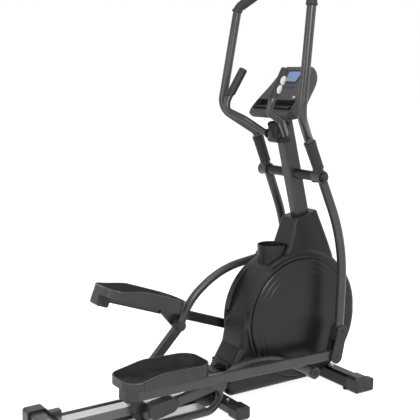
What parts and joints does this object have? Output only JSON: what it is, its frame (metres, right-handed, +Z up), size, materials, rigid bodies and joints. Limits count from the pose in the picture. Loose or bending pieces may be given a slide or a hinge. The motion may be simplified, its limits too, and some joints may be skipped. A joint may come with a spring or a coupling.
{
  "type": "elliptical trainer",
  "caption": "Front-drive elliptical cross trainer with swinging handlebars, pulse grips, console, pedal trays and rollers on aluminium rear rails.",
  "frame": {"origin": "on the floor under the middle of the machine's length and width", "axes": "+X forward towards the drive housing, +Y to the user's left, +Z up"},
  "size_m": [1.5027, 0.6188, 1.7752],
  "materials": {
    "charcoal_paint": "satin charcoal powder coat on steel tube",
    "black_paint": "satin black paint on steel",
    "housing_plastic": "fine textured black plastic",
    "disc_plastic": "smooth dark grey plastic with turned rings",
    "pedal_plastic": "moulded dark grey plastic",
    "mat_rubber": "ribbed black rubber",
    "foam_rubber": "black soft foam rubber",
    "grip_plastic": "black textured plastic",
    "track_aluminium": "brushed extruded aluminium",
    "sensor_metal": "bright contact plate",
    "console_plastic": "satin black plastic",
    "ledge_plastic": "grey plastic",
    "screen_glass": "pale green grey liquid crystal window",
    "key_rubber": "soft dark grey keys",
    "button_plastic": "white gloss plastic",
    "wheel_nylon": "hard black wheel plastic",
    "foot_rubber": "black rubber",
    "belt_rubber": "ribbed drive belt",
    "cast_wheel": "cast iron flywheel",
    "bare_steel": "zinc plated steel"
  },
  "bodies": {
    "frame": {"clamp_cover": "console_plastic", "console_body": "console_plastic", "console_display": "screen_glass", "console_ledge": "ledge_plastic", "cross_tube": "black_paint", "cup_holder": "housing_plastic", "drive_belt": "belt_rubber", "feet": "foot_rubber", "front_caps": "grip_plastic", "front_stabilizer": "black_paint", "housing_left": "housing_plastic", "housing_right": "housing_plastic", "main_frame": "black_paint", "mast": "charcoal_paint", "mid_caps": "grip_plastic", "mid_stabilizer": "charcoal_paint", "pulse_grips": "grip_plastic", "pulse_handlebar": "black_paint", "pulse_sensors": "sensor_metal", "rail_frame": "charcoal_paint", "rail_track_left": "track_aluminium", "rail_track_right": "track_aluminium", "rear_caps": "grip_plastic", "rear_stabilizer": "charcoal_paint"},
    "crank": {"crank_axle": "bare_steel", "crank_arm_left": "black_paint", "crank_arm_right": "black_paint", "crank_disc_left": "disc_plastic", "crank_disc_right": "disc_plastic", "drive_pulley": "wheel_nylon"},
    "flywheel": {"flywheel": "cast_wheel"},
    "swing_left": {"swing_arm_left": "charcoal_paint", "swing_sleeve_left": "grip_plastic", "swing_handle_left": "charcoal_paint", "swing_grip_left": "foam_rubber", "hinge_cover_left": "pedal_plastic"},
    "bar_left": {"pedal_bar_left": "charcoal_paint", "pedal_tray_left": "pedal_plastic", "pedal_mat_left": "mat_rubber"},
    "arm_left": {"roller_arm_left": "charcoal_paint", "roller_cover_left": "pedal_plastic"},
    "roller_left": {"roller_left": "wheel_nylon"},
    "transport_left": {"transport_wheel_left": "wheel_nylon"},
    "swing_right": {"swing_arm_right": "charcoal_paint", "swing_sleeve_right": "grip_plastic", "swing_handle_right": "charcoal_paint", "swing_grip_right": "foam_rubber", "hinge_cover_right": "pedal_plastic"},
    "bar_right": {"pedal_bar_right": "charcoal_paint", "pedal_tray_right": "pedal_plastic", "pedal_mat_right": "mat_rubber"},
    "arm_right": {"roller_arm_right": "charcoal_paint", "roller_cover_right": "pedal_plastic"},
    "roller_right": {"roller_right": "wheel_nylon"},
    "transport_right": {"transport_wheel_right": "wheel_nylon"},
    "key_1": {"console_key_1": "key_rubber"},
    "key_2": {"console_key_2": "key_rubber"},
    "key_3": {"console_key_3": "key_rubber"},
    "key_4": {"console_key_4": "key_rubber"},
    "button": {"console_button": "button_plastic"}
  },
  "joints": [
    {"name": "crank", "type": "hinge", "parent": "frame", "child": "crank", "pos_m": [0.415, 0, 0.341], "axis": [0, -1, 0], "continuous": true},
    {"name": "flywheel", "type": "hinge", "parent": "frame", "child": "flywheel", "pos_m": [0.612, 0, 0.318], "axis": [0, -1, 0], "continuous": true},
    {"name": "swing_left", "type": "hinge", "parent": "frame", "child": "swing_left", "pos_m": [0.428, 0.186, 0.976], "axis": [0, -1, 0], "range_deg": [-15.1, 17.9]},
    {"name": "bar_left", "type": "hinge", "parent": "swing_left", "child": "bar_left", "pos_m": [0.49213, 0.186, 0.16754], "axis": [0, -1, 0], "range_deg": [-15.9, 13.4]},
    {"name": "arm_left", "type": "hinge", "parent": "bar_left", "child": "arm_left", "pos_m": [-0.07021, 0.133, 0.32877], "axis": [0, -1, 0], "range_deg": [-2.1, 1.8]},
    {"name": "roller_left", "type": "hinge", "parent": "arm_left", "child": "roller_left", "pos_m": [-0.3065, 0.092, 0.088], "axis": [0, -1, 0], "continuous": true},
    {"name": "transport_left", "type": "hinge", "parent": "frame", "child": "transport_left", "pos_m": [0.672, 0.258, 0.031], "axis": [0, -1, 0], "continuous": true},
    {"name": "swing_right", "type": "hinge", "parent": "frame", "child": "swing_right", "pos_m": [0.428, -0.186, 0.976], "axis": [0, -1, 0], "range_deg": [-17.9, 15.1]},
    {"name": "bar_right", "type": "hinge", "parent": "swing_right", "child": "bar_right", "pos_m": [0.53131, -0.186, 0.17161], "axis": [0, -1, 0], "range_deg": [-12.5, 14.8]},
    {"name": "arm_right", "type": "hinge", "parent": "bar_right", "child": "arm_right", "pos_m": [-0.05307, -0.133, 0.14461], "axis": [0, -1, 0], "range_deg": [-2.7, 3.2]},
    {"name": "roller_right", "type": "hinge", "parent": "arm_right", "child": "roller_right", "pos_m": [-0.38564, -0.092, 0.088], "axis": [0, -1, 0], "continuous": true},
    {"name": "transport_right", "type": "hinge", "parent": "frame", "child": "transport_right", "pos_m": [0.672, -0.258, 0.031], "axis": [0, -1, 0], "continuous": true},
    {"name": "key_1", "type": "slide", "parent": "frame", "child": "key_1", "axis": [0.7581, 0, -0.6521], "range_m": [0, 0.001], "stiffness_N_per_m": 600},
    {"name": "key_2", "type": "slide", "parent": "frame", "child": "key_2", "axis": [0.7581, 0, -0.6521], "range_m": [0, 0.001], "stiffness_N_per_m": 600},
    {"name": "key_3", "type": "slide", "parent": "frame", "child": "key_3", "axis": [0.7581, 0, -0.6521], "range_m": [0, 0.001], "stiffness_N_per_m": 600},
    {"name": "key_4", "type": "slide", "parent": "frame", "child": "key_4", "axis": [0.7581, 0, -0.6521], "range_m": [0, 0.001], "stiffness_N_per_m": 600},
    {"name": "button", "type": "slide", "parent": "frame", "child": "button", "axis": [0.7581, 0, -0.6521], "range_m": [0, 0.001], "stiffness_N_per_m": 600}
  ],
  "couplings": [
    {"joint": "flywheel", "follows": "crank", "ratio": 5.9091},
    {"joint": "bar_left", "follows": "swing_left", "ratio": -0.8859},
    {"joint": "arm_left", "follows": "swing_left", "ratio": -0.1141},
    {"joint": "swing_right", "follows": "swing_left", "ratio": -1},
    {"joint": "bar_right", "follows": "swing_left", "ratio": 0.8232},
    {"joint": "arm_right", "follows": "swing_left", "ratio": 0.1768}
  ]
}
